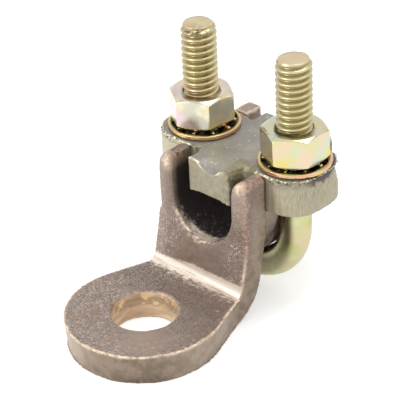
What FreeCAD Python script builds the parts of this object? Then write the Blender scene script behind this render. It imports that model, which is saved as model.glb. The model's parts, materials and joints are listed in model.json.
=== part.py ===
"""U-bolt clamp cable lug, at its real size in millimetres.

The frame: the origin is the centre of the stud hole on the underside of the palm, +Z is up, and
the upright and the cable trough lie towards +Y. The cable runs along Y. The two legs of the U-bolt
stand at +X and -X.
"""
import FreeCAD, Part
import os
import re

import Sketcher

# Driving sizes
SIZES = {
    # Palm: the flat tongue with the stud hole, and its bend into the upright
    "palm_thick": 6.6,
    "stud_hole": 14.3,
    "eye_flare": 4.3,
    "taper_start": 15.0,
    "inner_bend": 2.0,
    "outer_bend": 11.0,
    "foot_lean": 12.0,
    "lean_height": 18.6,
    # Trough, its two horned plates and the grooves for the U-bolt
    "stud_to_leg": 34.0,
    "plate_gap": 18.4,
    "front_plate": 6.0,
    "back_plate": 4.8,
    "back_step": 0.8,
    "trough_wall": 4.5,
    "groove_wall": 1.4,
    "groove_width": 9.6,
    "keel_width": 6.0,
    "seat_height": 24.6,
    "cable_drop": 0.7,
    "horn_rise": 8.5,
    "left_horn_round": 3.6,
    "right_horn_round": 1.4,
    "mouth_round": 3.0,
    "rear_horn_round": 2.4,
    "horn_land": 0.1,
    "cast_round": 1.2,
    "hole_break": 0.4,
    # U-bolt
    "leg_spacing": 27.0,
    "shank_dia": 6.9,
    "thread_dia": 7.9,
    "thread_run": 27.5,
    "thread_spare": 15.9,
    "thread_end": 0.7,
    "keel_clearance": 0.15,
    "floor_gap": 0.25,
    # Clamp saddle
    "saddle_thick": 8.3,
    "saddle_gap": 0.5,
    "ear_reach": 8.1,
    "ear_corner": 6.5,
    "ear_flat": 0.4,
    "leg_clearance": 0.45,
    "tongue_gap": 2.5,
    "tongue_length": 3.6,
    "arch_depth": 0.6,
    "root_round": 0.8,
    "flute_radius": 1.6,
    "flute_offset": 0.6,
    "flute_end": 5.4,
    "dip_radius": 7.3,
    "dip_depth": 1.05,
    "dip_slope": 45.0,
    "dip_offset": 0.4,
    "tongue_edge": 0.6,
    # Lock washers
    "washer_outer": 16.2,
    "washer_rim": 1.2,
    "washer_sheet": 0.9,
    "tooth_count": 10,
    "tooth_width": 2.0,
    "tooth_sheet": 0.8,
    "tooth_twist": 20.0,
    "tooth_clearance": 0.9,
    "left_washer_slip": 0.7,
    # Hex nuts
    "nut_flats": 13.0,
    "nut_height": 7.25,
    "nut_clearance": 0.05,
    "nut_face": 0.35,
    "nut_bevel": 30.0,
    "left_nut_turn": 26.4,
    "right_nut_turn": 32.5,
    # How far a cutting outline reaches past what it cuts
    "overcut": 1.0,
}

# Two places this near are the same, and a cut of less volume is none
SAME_PLACE = 0.02
LEAST_CUT = 0.01

# Sizes that follow from the driving ones, written as the sheet's expressions
NOTCH_HALF = "((leg_spacing - shank_dia) / 2 - keel_clearance - groove_wall)"
NECK_HALF = f"({NOTCH_HALF} + trough_wall)"
EYE_RADIUS = f"({NECK_HALF} + eye_flare)"
KEEL_HALF = "((leg_spacing - shank_dia) / 2 - keel_clearance)"
CABLE_AXIS = "(seat_height - cable_drop)"
HORN_TOP = "(seat_height + horn_rise)"
PLATE_BACK = "(stud_to_leg - plate_gap / 2)"
PLATE_FRONT = f"({PLATE_BACK} - front_plate)"
PLATE_MIDDLE = f"({PLATE_BACK} - front_plate / 2)"
REAR_FACE = "(stud_to_leg + plate_gap / 2)"
LUG_END = f"({REAR_FACE} + back_plate)"
BEND_CENTRE = "(floor_gap + (shank_dia + leg_spacing) / 2)"
SADDLE_TOP = "(seat_height + saddle_thick)"
WASHER_HEIGHT = "(tooth_width * sin(tooth_twist) + tooth_sheet * cos(tooth_twist))"
NUT_SEAT = f"({SADDLE_TOP} + {WASHER_HEIGHT})"
BOLT_TOP = f"({NUT_SEAT} + nut_height + thread_spare)"
TONGUE_HALF = f"({NOTCH_HALF} - tongue_gap)"
TONGUE_REACH = "(plate_gap / 2 + tongue_length)"
SADDLE_HALF = "(plate_gap / 2 - saddle_gap)"

doc = FreeCAD.newDocument("cable_lug")
sheet = doc.addObject("Spreadsheet::Sheet", "Sizes")
for row, (alias, value) in enumerate(SIZES.items(), start=1):
    sheet.set(f"A{row}", alias)
    sheet.set(f"B{row}", str(value))
    sheet.setAlias(f"B{row}", alias)
doc.recompute()


# Helpers
def bound(text):
    """The expression with every size name read from the sheet."""
    return re.sub(r"[a-z_]+", lambda word: f"Sizes.{word[0]}" if word[0] in SIZES else word[0], text)


def number(text):
    """The present value of an expression."""
    value = sheet.evalExpression(bound(text))
    return float(getattr(value, "Value", value))


def drive(thing, prop, text):
    """Binds one property to an expression of the sizes."""
    thing.setExpression(prop, bound(text))


def new_body(label):
    body = doc.addObject("PartDesign::Body", label)
    body.Label = label
    return body


def new_sketch(body, name, plane, lift="0"):
    """A sketch on one of the body's own origin planes, lifted along that plane's normal."""
    sketch = body.newObject("Sketcher::SketchObject", name)
    face = [part for part in body.Origin.OriginFeatures if part.Role == plane][0]
    sketch.AttachmentSupport = [(face, "")]
    sketch.MapMode = "FlatFace"
    drive(sketch, "AttachmentOffset.Base.z", lift)
    return sketch


def pin_point(sketch, edge, end, label, x, y):
    """Holds one point of an edge at a place that follows the sizes."""
    for axis, text in (("DistanceX", x), ("DistanceY", y)):
        index = sketch.addConstraint(Sketcher.Constraint(axis, -1, 1, edge, end, number(text)))
        sketch.renameConstraint(index, f"{label}_{axis[-1].lower()}")
        drive(sketch, f"Constraints.{label}_{axis[-1].lower()}", text)


def set_radius(sketch, edge, label, radius):
    index = sketch.addConstraint(Sketcher.Constraint("Radius", edge, number(radius)))
    sketch.renameConstraint(index, f"{label}_radius")
    drive(sketch, f"Constraints.{label}_radius", radius)


def set_centre_height(sketch, edge, label, height):
    index = sketch.addConstraint(Sketcher.Constraint("DistanceY", -1, 1, edge, 3, number(height)))
    sketch.renameConstraint(index, f"{label}_centre")
    drive(sketch, f"Constraints.{label}_centre", height)


def outline(sketch, label, corners, bows=None, closed=True):
    """A chain of lines through the corners; a bow turns the edge that leaves a corner into an arc.

    Each bow holds what sets the arc, its radius or, for a half-round, its centre's height, and one
    point between its ends, which says how it curves.
    """
    bows = bows or {}
    first = sketch.GeometryCount
    spots = [FreeCAD.Vector(number(x), number(y), 0) for x, y in corners]
    edges = len(corners) if closed else len(corners) - 1
    ends = []
    for index in range(edges):
        start = spots[index]
        stop = spots[(index + 1) % len(spots)]
        if index in bows:
            mid_x, mid_y = bows[index][2:]
            middle = FreeCAD.Vector(number(mid_x), number(mid_y), 0)
            turns_left = (middle - start).cross(stop - middle).z > 0
            first_end, last_end = (start, stop) if turns_left else (stop, start)
            sketch.addGeometry(Part.Arc(first_end, middle, last_end))
            ends.append((1, 2) if turns_left else (2, 1))
        else:
            sketch.addGeometry(Part.LineSegment(start, stop))
            ends.append((1, 2))
    joints = edges if closed else edges - 1
    for index in range(joints):
        after = (index + 1) % edges
        sketch.addConstraint(
            Sketcher.Constraint("Coincident", first + index, ends[index][1], first + after, ends[after][0]))
    for index in range(edges):
        pin_point(sketch, first + index, ends[index][0], f"{label}{index}", *corners[index])
        if index in bows:
            set_arc = {"radius": set_radius, "centre": set_centre_height}[bows[index][0]]
            set_arc(sketch, first + index, f"{label}{index}", bows[index][1])
    if not closed:
        pin_point(sketch, first + edges - 1, ends[-1][1], f"{label}{edges}", *corners[-1])


def rectangle(sketch, label, left, right, low, high):
    outline(sketch, label, [(left, low), (right, low), (right, high), (left, high)])


def circle(sketch, label, x, y, radius):
    edge = sketch.addGeometry(
        Part.Circle(FreeCAD.Vector(number(x), number(y), 0), FreeCAD.Vector(0, 0, 1), number(radius)))
    pin_point(sketch, edge, 3, label, x, y)
    set_radius(sketch, edge, label, radius)


def pad(body, sketch, length, side="One side", reverse=False):
    feature = body.newObject("PartDesign::Pad", f"{sketch.Name}_pad")
    feature.Profile = sketch
    feature.SideType = side
    feature.Reversed = reverse
    drive(feature, "Length", length)
    doc.recompute()
    return feature


def pocket(body, sketch, length=None, side="Symmetric", reverse=False):
    """Cuts the sketch into the body, and stops if nothing was cut."""
    before = body.Shape.Volume
    feature = body.newObject("PartDesign::Pocket", f"{sketch.Name}_pocket")
    feature.Profile = sketch
    feature.SideType = side
    feature.Reversed = reverse
    if length is None:
        feature.Type = "ThroughAll"
    else:
        drive(feature, "Length", length)
    doc.recompute()
    if body.Shape.Volume > before - LEAST_CUT:
        raise RuntimeError(f"{feature.Name} cuts nothing")
    return feature


def rod_cut(body, name, start, radius, length, tilt):
    """Cuts a rod into the body. It starts at a point and leans from upright towards +Y by the tilt."""
    before = body.Shape.Volume
    feature = body.newObject("PartDesign::SubtractiveCylinder", name)
    ground = [part for part in body.Origin.OriginFeatures if part.Role == "XY_Plane"][0]
    feature.AttachmentSupport = [(ground, "")]
    feature.MapMode = "FlatFace"
    drive(feature, "Radius", radius)
    drive(feature, "Height", length)
    for axis, text in zip("xyz", start):
        drive(feature, f"AttachmentOffset.Base.{axis}", text)
    feature.AttachmentOffset.Rotation = FreeCAD.Rotation(FreeCAD.Vector(-1, 0, 0), number(tilt))
    drive(feature, "AttachmentOffset.Rotation.Angle", tilt)
    doc.recompute()
    if body.Shape.Volume > before - LEAST_CUT:
        raise RuntimeError(f"{name} cuts nothing")


def edge_names(shape, wanted):
    """Names of the edges whose ends and middle pass the test."""
    names = []
    for index, edge in enumerate(shape.Edges, start=1):
        ends = [vertex.Point for vertex in edge.Vertexes]
        if len(ends) == 2 and wanted(ends[0], ends[1]):
            names.append(f"Edge{index}")
    return names


def near(value, text):
    return abs(value - number(text)) < SAME_PLACE


def round_edge_names(shape, height, radius):
    """Names of the level circles of one radius at a height."""
    names = []
    for index, edge in enumerate(shape.Edges, start=1):
        curve = edge.Curve
        if isinstance(curve, Part.Circle) and near(curve.Center.z, height) and near(curve.Radius, radius):
            names.append(f"Edge{index}")
    return names


def dress(body, kind, name, names, size, prop="Radius"):
    """Rounds or bevels the named edges of the body's last feature."""
    if not names:
        raise RuntimeError(f"{name} finds no edge")
    last = body.Tip
    feature = body.newObject(f"PartDesign::{kind}", name)
    feature.Base = (last, names)
    drive(feature, prop, size)
    doc.recompute()
    return feature


def place(thing, x="0", y="0", z="0", turn=None):
    """Sets a sub-part's placement from the sizes."""
    for axis, text in (("x", x), ("y", y), ("z", z)):
        drive(thing, f"Placement.Base.{axis}", text)
    if turn is not None:
        thing.Placement.Rotation = FreeCAD.Rotation(FreeCAD.Vector(0, 0, 1), number(turn))
        drive(thing, "Placement.Rotation.Angle", turn)


# Lug body: palm, bend, upright, trough and back plate in one casting
def side_profile(body):
    """The strip seen from the side: palm, bend, leaning foot and upright."""
    sketch = new_sketch(body, "side_profile", "YZ_Plane")
    outer_y = f"({PLATE_BACK} - (outer_bend - (outer_bend - lean_height) * sin(foot_lean)) / cos(foot_lean))"
    inner_z = "(palm_thick + inner_bend)"
    inner_y = f"({PLATE_FRONT} - (inner_bend - ({inner_z} - lean_height) * sin(foot_lean)) / cos(foot_lean))"
    corners = [
        (f"-{EYE_RADIUS}", "0"),
        (outer_y, "0"),
        (f"{outer_y} + outer_bend * cos(foot_lean)", "outer_bend - outer_bend * sin(foot_lean)"),
        (PLATE_BACK, "lean_height"),
        (PLATE_BACK, HORN_TOP),
        (PLATE_FRONT, HORN_TOP),
        (PLATE_FRONT, "lean_height"),
        (f"{inner_y} + inner_bend * cos(foot_lean)", f"{inner_z} - inner_bend * sin(foot_lean)"),
        (inner_y, "palm_thick"),
        (f"-{EYE_RADIUS}", "palm_thick"),
    ]
    half_turn = "(45 - foot_lean / 2)"
    bows = {
        1: ("radius", "outer_bend", f"{outer_y} + outer_bend * sin({half_turn})",
            f"outer_bend - outer_bend * cos({half_turn})"),
        7: ("radius", "inner_bend", f"{inner_y} + inner_bend * sin({half_turn})",
            f"{inner_z} - inner_bend * cos({half_turn})"),
    }
    outline(sketch, "strip", corners, bows)
    return sketch


def plan_waste(body):
    """What is outside the palm's plan: a round eye that tapers to the straight neck."""
    sketch = new_sketch(body, "plan_waste", "XY_Plane")
    reach = f"hypot(taper_start; {NECK_HALF})"
    tangent = f"(atan2(taper_start; {NECK_HALF}) - acos({EYE_RADIUS} / {reach}))"
    side_x = f"{EYE_RADIUS} * cos({tangent})"
    side_y = f"{EYE_RADIUS} * sin({tangent})"
    corners = [
        (side_x, side_y),
        (NECK_HALF, "taper_start"),
        (NECK_HALF, "stud_to_leg"),
        (f"-{NECK_HALF}", "stud_to_leg"),
        (f"-{NECK_HALF}", "taper_start"),
        (f"-{side_x}", side_y),
    ]
    outline(sketch, "plan", corners, {5: ("radius", EYE_RADIUS, "0", f"-{EYE_RADIUS}")})
    rectangle(sketch, "sheet", f"-2 * {EYE_RADIUS}", f"2 * {EYE_RADIUS}", f"-2 * {EYE_RADIUS}",
              "2 * stud_to_leg")
    return sketch


def cradle(sketch, label, half, centre, top):
    """A U with straight sides and a half-round bottom."""
    corners = [(f"-{half}", top), (f"-{half}", centre), (half, centre), (half, top)]
    outline(sketch, label, corners, {1: ("centre", centre, "0", f"{centre} - {half}")})


def is_along_y(a, b):
    return abs(a.x - b.x) < SAME_PLACE and abs(a.z - b.z) < SAME_PLACE


def lug_body():
    body = new_body("lug_body")
    pad(body, side_profile(body), f"2 * {EYE_RADIUS}", side="Symmetric")

    waste = plan_waste(body)
    pocket(body, waste)

    trough = new_sketch(body, "trough", "XZ_Plane", f"-{PLATE_MIDDLE}")
    cradle(trough, "wall", NECK_HALF, CABLE_AXIS, "seat_height")
    pad(body, trough, "plate_gap + front_plate / 2 + back_plate / 2", reverse=True)

    rear = new_sketch(body, "rear_plate", "XZ_Plane", f"-{REAR_FACE}")
    cradle(rear, "plate", f"({NECK_HALF} - back_step)", CABLE_AXIS, HORN_TOP)
    pad(body, rear, "back_plate", reverse=True)

    grooves = new_sketch(body, "leg_grooves", "XY_Plane")
    low = "stud_to_leg - groove_width / 2"
    high = "stud_to_leg + groove_width / 2"
    rectangle(grooves, "right", KEEL_HALF, f"2 * {NECK_HALF}", low, high)
    rectangle(grooves, "left", f"-2 * {NECK_HALF}", f"-{KEEL_HALF}", low, high)
    pocket(body, grooves)

    keel = new_sketch(body, "keel", "XZ_Plane", "-stud_to_leg")
    cradle(keel, "keel", KEEL_HALF, BEND_CENTRE, CABLE_AXIS)
    pad(body, keel, "keel_width", side="Symmetric")

    notch = new_sketch(body, "cable_notch", "XZ_Plane", "-stud_to_leg")
    cradle(notch, "notch", NOTCH_HALF, CABLE_AXIS, f"({HORN_TOP} + horn_rise)")
    pocket(body, notch)

    hole = new_sketch(body, "stud_hole_outline", "XY_Plane")
    circle(hole, "stud", "0", "0", "stud_hole / 2")
    pocket(body, hole)

    # Each horn is worn round in its own way, within its wall
    rear_side = f"({NECK_HALF} - back_step)"
    horn_edges = (
        ("left_horn_outside", f"-{NECK_HALF}", PLATE_BACK, "min(left_horn_round; trough_wall - horn_land)"),
        ("right_horn_outside", NECK_HALF, PLATE_BACK,
         "min(right_horn_round; (trough_wall - horn_land) / 2)"),
        ("right_horn_mouth", NOTCH_HALF, PLATE_BACK,
         "min(mouth_round; trough_wall - horn_land - right_horn_round)"),
        ("rear_horn_outside", rear_side, LUG_END,
         "min(rear_horn_round; trough_wall - back_step - horn_land)"),
    )
    for name, side, back, radius in horn_edges:
        edges = edge_names(body.Shape, lambda a, b: is_along_y(a, b) and near(a.x, side)
                           and near(a.z, HORN_TOP) and near(max(a.y, b.y), back))
        dress(body, "Fillet", name, edges, radius)

    # The upright's front corners keep the roundness of the mould
    mould = new_sketch(body, "mould_corners", "XY_Plane", "lean_height")
    inset = "(cast_round * (1 - sqrt(0.5)))"
    for label, sign in (("left", "-"), ("right", "")):
        side = f"{sign}{NECK_HALF}"
        inner_x = f"{sign}({NECK_HALF} - cast_round)"
        outline(mould, label, [(side, PLATE_FRONT), (side, f"{PLATE_FRONT} + cast_round"),
                               (inner_x, PLATE_FRONT)],
                {1: ("radius", "cast_round", f"{sign}({NECK_HALF} - {inset})", f"{PLATE_FRONT} + {inset}")})
    pocket(body, mould, side="One side", reverse=True)

    # The stud hole's upper rim is broken
    rims = round_edge_names(body.Shape, "palm_thick", "stud_hole / 2")
    dress(body, "Chamfer", "hole_rim", rims, "hole_break", prop="Size")
    return body


# U-bolt: one rod, bent round and threaded at both ends
def u_bolt():
    body = new_body("u_bolt")
    leg = "leg_spacing / 2"
    section = new_sketch(body, "rod_section", "XY_Plane", BEND_CENTRE)
    circle(section, "rod", f"-{leg}", "0", "shank_dia / 2")
    bend = body.newObject("PartDesign::Revolution", "bend")
    bend.Profile = section
    bend.ReferenceAxis = (section, ["V_Axis"])
    bend.Angle = 180
    bend.Reversed = True
    doc.recompute()

    thread_foot = f"({BOLT_TOP} - thread_run)"
    stretches = (
        ("shanks", BEND_CENTRE, "shank_dia / 2", f"{thread_foot} - {BEND_CENTRE}"),
        ("threads", thread_foot, "thread_dia / 2", "thread_run"),
    )
    for name, foot, radius, length in stretches:
        pair = new_sketch(body, f"{name}_section", "XY_Plane", foot)
        circle(pair, "left", f"-{leg}", "0", radius)
        circle(pair, "right", leg, "0", radius)
        pad(body, pair, length)
    tops = round_edge_names(body.Shape, BOLT_TOP, "thread_dia / 2")
    dress(body, "Chamfer", "thread_points", tops, "thread_end", prop="Size")
    place(body, y="stud_to_leg")
    return body


# Clamp saddle: the loose casting that presses on the cable
def is_upright(a, b):
    return abs(a.x - b.x) < SAME_PLACE and abs(a.y - b.y) < SAME_PLACE


def clamp_saddle():
    body = new_body("clamp_saddle")
    end = "(leg_spacing / 2 + ear_reach)"
    corner = f"min(ear_corner; {SADDLE_HALF} - ear_flat)"
    inset = f"(1 - sqrt(0.5)) * {corner}"
    slab = new_sketch(body, "slab", "XY_Plane")
    corners = [
        (f"-{end}", f"-{SADDLE_HALF} + {corner}"), (f"-{end} + {corner}", f"-{SADDLE_HALF}"),
        (f"{end} - {corner}", f"-{SADDLE_HALF}"), (end, f"-{SADDLE_HALF} + {corner}"),
        (end, f"{SADDLE_HALF} - {corner}"), (f"{end} - {corner}", SADDLE_HALF),
        (f"-{end} + {corner}", SADDLE_HALF), (f"-{end}", f"{SADDLE_HALF} - {corner}"),
    ]
    bows = {
        0: ("radius", corner, f"-{end} + {inset}", f"-{SADDLE_HALF} + {inset}"),
        2: ("radius", corner, f"{end} - {inset}", f"-{SADDLE_HALF} + {inset}"),
        4: ("radius", corner, f"{end} - {inset}", f"{SADDLE_HALF} - {inset}"),
        6: ("radius", corner, f"-{end} + {inset}", f"{SADDLE_HALF} - {inset}"),
    }
    outline(slab, "slab", corners, bows)
    pad(body, slab, "saddle_thick")

    tongues = new_sketch(body, "tongues", "XY_Plane")
    rectangle(tongues, "tongue", f"-{TONGUE_HALF}", TONGUE_HALF, f"-{TONGUE_REACH}", TONGUE_REACH)
    pad(body, tongues, "saddle_thick")

    # The tongue's front corners are rounded before the other cuts
    corners = edge_names(body.Shape, lambda a, b: is_upright(a, b) and near(abs(a.y), TONGUE_REACH))
    dress(body, "Fillet", "tongue_corners", corners, "tongue_edge")

    holes = new_sketch(body, "leg_holes", "XY_Plane")
    for label, side in (("left", "-leg_spacing / 2"), ("right", "leg_spacing / 2")):
        circle(holes, label, side, "0", "thread_dia / 2 + leg_clearance")
    pocket(body, holes)

    # Relief at the roots of both tongues, where the horns stand
    roots = new_sketch(body, "tongue_roots", "XY_Plane")
    for label, sign_x, sign_y in (("fl", "-", "-"), ("fr", "", "-"), ("bl", "-", ""), ("br", "", "")):
        circle(roots, label, f"{sign_x}({TONGUE_HALF} + root_round)", f"{sign_y}{SADDLE_HALF}", "root_round")
    pocket(body, roots)

    # A flute along the front tongue's right upper edge, and a hollow in its front upper edge
    rod_cut(body, "tongue_flute",
            (f"{TONGUE_HALF} + flute_offset", f"-{TONGUE_REACH} - overcut", "saddle_thick"),
            "flute_radius", "flute_end + overcut", "90")
    lift = "(dip_radius - dip_depth)"
    reach = "(2 * dip_radius)"
    rod_cut(body, "tongue_dip",
            ("dip_offset",
             f"-{TONGUE_REACH} - {lift} * sin(dip_slope) - {reach} * cos(dip_slope) / 2",
             f"saddle_thick + {lift} * cos(dip_slope) - {reach} * sin(dip_slope) / 2"),
            "dip_radius", reach, "90 - dip_slope")

    # The underside is arched along the cable
    arch = new_sketch(body, "cable_arch", "XZ_Plane")
    arch_radius = f"(({TONGUE_HALF} ^ 2 + arch_depth ^ 2) / (2 * arch_depth))"
    outline(arch, "arch", [(f"-{TONGUE_HALF}", "0"), (TONGUE_HALF, "0")],
            {0: ("radius", arch_radius, "0", "-arch_depth"), 1: ("radius", arch_radius, "0", "arch_depth")})
    pocket(body, arch)
    place(body, y="stud_to_leg", z="seat_height")
    return body


# Lock washers: a narrow ring with teeth that point in and are twisted
def lock_washer(label, side, slip):
    body = new_body(label)
    inner = "(washer_outer / 2 - washer_rim)"
    ring = new_sketch(body, f"{label}_ring", "XY_Plane", f"({WASHER_HEIGHT} - washer_sheet) / 2")
    circle(ring, "rim", "0", "0", "washer_outer / 2")
    share = "360 / tooth_count"
    reach = f"{inner} / cos({share} / 2)"
    steps = range(int(number("tooth_count")))
    outline(ring, "inside", [(f"{reach} * cos(({step} + 0.5) * {share})",
                              f"{reach} * sin(({step} + 0.5) * {share})") for step in steps])
    pad(body, ring, "washer_sheet")

    blade = new_sketch(body, f"{label}_blade", "YZ_Plane", "thread_dia / 2 + tooth_clearance")
    drive(blade, "AttachmentOffset.Base.y", f"{WASHER_HEIGHT} / 2")
    blade.AttachmentOffset.Rotation = FreeCAD.Rotation(FreeCAD.Vector(0, 0, 1), number("tooth_twist"))
    drive(blade, "AttachmentOffset.Rotation.Angle", "tooth_twist")
    rectangle(blade, "blade", "-tooth_width / 2", "tooth_width / 2", "-tooth_sheet / 2", "tooth_sheet / 2")
    tooth = pad(body, blade, f"{inner} - thread_dia / 2 - tooth_clearance")

    teeth = body.newObject("PartDesign::PolarPattern", f"{label}_teeth")
    teeth.Originals = [tooth]
    teeth.Axis = ([part for part in body.Origin.OriginFeatures if part.Role == "Z_Axis"][0], [""])
    teeth.Angle = 360
    drive(teeth, "Occurrences", "tooth_count")
    body.Tip = teeth
    place(body, x=f"{side}leg_spacing / 2 + {slip}", y="stud_to_leg", z=SADDLE_TOP)
    doc.recompute()
    return body


# Hex nuts, bevelled on the upper face
def hex_nut(label, side, turn):
    body = new_body(label)
    corner_radius = "(nut_flats / sqrt(3))"
    prism = new_sketch(body, f"{label}_hexagon", "XY_Plane")
    corners = [(f"{corner_radius} * cos({60 * step})", f"{corner_radius} * sin({60 * step})")
               for step in range(6)]
    outline(prism, "hex", corners)
    pad(body, prism, "nut_height")

    bore = new_sketch(body, f"{label}_bore", "XY_Plane")
    circle(bore, "bore", "0", "0", "thread_dia / 2 + nut_clearance")
    pocket(body, bore)

    # The bevel on the upper face's corners
    bevels = new_sketch(body, f"{label}_bevels", "XZ_Plane")
    face = "(nut_flats / 2 - nut_face)"
    wide = f"({corner_radius} + overcut)"
    drop = f"({wide} - {face}) * tan(nut_bevel)"
    outline(bevels, "top", [(face, "nut_height"), (wide, "nut_height"), (wide, f"nut_height - {drop}")])
    before = body.Shape.Volume
    groove = body.newObject("PartDesign::Groove", f"{label}_bevel")
    groove.Profile = bevels
    groove.ReferenceAxis = (bevels, ["V_Axis"])
    groove.Angle = 360
    doc.recompute()
    if body.Shape.Volume > before - LEAST_CUT:
        raise RuntimeError(f"{label} has no bevel")
    place(body, x=f"{side}leg_spacing / 2", y="stud_to_leg", z=NUT_SEAT, turn=turn)
    doc.recompute()
    return body


bodies = [
    lug_body(),
    u_bolt(),
    clamp_saddle(),
    lock_washer("lock_washer_left", "-", "left_washer_slip"),
    lock_washer("lock_washer_right", "", "0"),
    hex_nut("hex_nut_left", "-", "left_nut_turn"),
    hex_nut("hex_nut_right", "", "right_nut_turn"),
]
doc.recompute()

# Checks, then the files
for thing in doc.Objects:
    if "Invalid" in thing.State or "Error" in thing.State:
        raise RuntimeError(f"{thing.Name} failed: {thing.State}")
for body in bodies:
    if body.Shape.isNull() or not body.Shape.isValid() or len(body.Shape.Solids) != 1:
        raise RuntimeError(f"{body.Label} is not one valid solid")
os.makedirs("parts", exist_ok=True)
for body in bodies:
    body.Shape.exportStep(f"parts/{body.Label}.step")
    box = body.Shape.BoundBox
    print(f"{body.Label}: {body.Shape.Volume:.0f} mm3, x {box.XMin:.2f} to {box.XMax:.2f}, "
          f"y {box.YMin:.2f} to {box.YMax:.2f}, z {box.ZMin:.2f} to {box.ZMax:.2f}")
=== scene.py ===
"""Looks of the U-bolt clamp cable lug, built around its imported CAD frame.

Metres, in the CAD's frame: the origin is the centre of the stud hole on the underside of the palm,
+Z is up, +Y runs from the hole to the upright and the trough, and the U-bolt's legs stand at +X and -X.
Masks on the castings are worked out in millimetres.
"""

import json
import math

import bmesh
import bpy
import numpy as np
from mathutils import Matrix, Vector, noise


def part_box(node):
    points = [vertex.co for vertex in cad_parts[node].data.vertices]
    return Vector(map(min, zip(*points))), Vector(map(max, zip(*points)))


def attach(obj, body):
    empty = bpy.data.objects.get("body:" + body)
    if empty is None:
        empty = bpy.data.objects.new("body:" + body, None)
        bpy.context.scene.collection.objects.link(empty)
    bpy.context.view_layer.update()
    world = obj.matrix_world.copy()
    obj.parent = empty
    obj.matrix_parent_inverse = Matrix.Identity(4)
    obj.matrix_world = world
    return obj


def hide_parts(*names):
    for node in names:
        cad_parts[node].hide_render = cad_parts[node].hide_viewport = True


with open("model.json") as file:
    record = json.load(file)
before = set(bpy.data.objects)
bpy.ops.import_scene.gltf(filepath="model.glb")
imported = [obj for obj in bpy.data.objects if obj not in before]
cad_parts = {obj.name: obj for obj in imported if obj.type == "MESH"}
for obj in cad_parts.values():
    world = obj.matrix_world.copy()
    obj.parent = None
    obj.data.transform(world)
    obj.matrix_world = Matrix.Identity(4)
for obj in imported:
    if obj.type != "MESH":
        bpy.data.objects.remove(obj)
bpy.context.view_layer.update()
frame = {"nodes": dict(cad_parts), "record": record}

# Sizes that the frame gives, in metres
MM = 0.001
BOLT_LOW, BOLT_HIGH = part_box("u_bolt")
LUG_LOW, LUG_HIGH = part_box("lug_body")
SADDLE_LOW, SADDLE_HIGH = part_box("clamp_saddle")
NUT_LOW, NUT_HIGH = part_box("hex_nut_left")
WASHER_LOW, WASHER_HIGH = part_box("lock_washer_right")
LEG_X = (WASHER_LOW.x + WASHER_HIGH.x) / 2
LEG_Y = (WASHER_LOW.y + WASHER_HIGH.y) / 2
THREAD_RADIUS = (BOLT_HIGH.y - BOLT_LOW.y) / 2

# Sizes that repeat the part's own, in metres
SHANK_RADIUS = 3.45 * MM
BEND_HEIGHT = BOLT_LOW.z + LEG_X + SHANK_RADIUS
THREAD_RUN = 27.5 * MM
PITCH = 1.5 * MM
THREAD_DEPTH = 0.6 * PITCH
POINT_RADIUS = 3.3 * MM
POINT_CHAMFER = 0.55
POINT_ROUND = 0.05 * MM
NUT_FLATS = 13.0 * MM
NUT_FACE = NUT_FLATS / 2 - 0.35 * MM
NUT_BEVEL = math.radians(30)
NUT_ENTRY = THREAD_RADIUS + 0.25 * MM
NUT_ENTRY_DEPTH = 0.6 * MM
NUT_EDGE = 0.11 * MM
NUT_SPECKS = 0.4 * MM
NUT_TURNS = {"left": math.radians(26.4), "right": math.radians(32.5)}

# How far each leg's thread is shifted up, so that its crests lie as in the photograph
THREAD_STARTS = {-1: 0.25 * MM, 1: -0.17 * MM}

# Fineness of the meshes
LUG_VOXEL = 0.3 * MM
SADDLE_VOXEL = 0.2 * MM
WASHER_VOXEL = 0.12 * MM
SOFT_PASSES = 3
ROWS_PER_TURN = 12
BOLT_COLUMNS = 72
SHANK_RINGS = 8
BEND_RINGS = 65
NUT_COLUMNS = 24

# Depths of the wear that is shaped here
DRAFT = 0.7 * MM
WAVE_DEPTH = 1.35 * MM
SHOULDER_SLOPE = 1.1 * MM
CHIP_DEPTH = 0.3 * MM

# Rounds of smoothing for the worn horns, the tongue's flute and the slope of its dip
HORN_ROUNDS = 22
FLUTE_ROUNDS = 90
SLOPE_ROUNDS = 40

# Radii at which the washers' bright rims start
WASHER_RIMS = {"left": 7.75 * MM, "right": 7.65 * MM}

# Camera: azimuth, elevation and roll in degrees, and its place in metres
CAMERA_TURNS = (44.605, 30.821, -2.648)
CAMERA_PLACE = Vector((244.72, -229.71, 233.39)) * MM
IMAGE_WIDTH = 400
FOCAL_PIXELS = 1900

# Stage
FLOOR_HALF = 2.0
FLOOR_GAP = 0.05 * MM
FLOOR_GLOW = 0.55
SOFT_LIGHT = 0.6
LAMP_TARGET = Vector((0, 15, 20)) * MM

# Sizes in millimetres for the masks on the castings: the part's own, then three from the frame
PALM_TOP = 6.6
PLATE_FRONT = 18.8
PLATE_BACK = 24.8
REAR_FRONT = 43.2
NECK_HALF = 13.0
NOTCH_HALF = 8.5
NOTCH_CENTRE = 23.9
STUD_RADIUS = 7.15
BEND_FOOT = 14.6
SADDLE_TOP = SADDLE_HIGH.z / MM
SADDLE_FRONT = SADDLE_LOW.y / MM
HORN_TOP = LUG_HIGH.z / MM


# Mesh helpers
def add_object(name, mesh):
    piece = bpy.data.objects.new(name, mesh)
    bpy.context.scene.collection.objects.link(piece)
    return piece


def mesh_from(name, points, faces):
    """A mesh whose coincident points are merged and whose faces look outwards."""
    mesh = bpy.data.meshes.new(name)
    mesh.from_pydata(points.tolist(), [], faces)
    shape = bmesh.new()
    shape.from_mesh(mesh)
    bmesh.ops.remove_doubles(shape, verts=shape.verts, dist=1e-6)
    bmesh.ops.dissolve_degenerate(shape, edges=shape.edges, dist=1e-7)
    bmesh.ops.recalc_face_normals(shape, faces=shape.faces)
    shape.to_mesh(mesh)
    shape.free()
    return mesh


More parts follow.
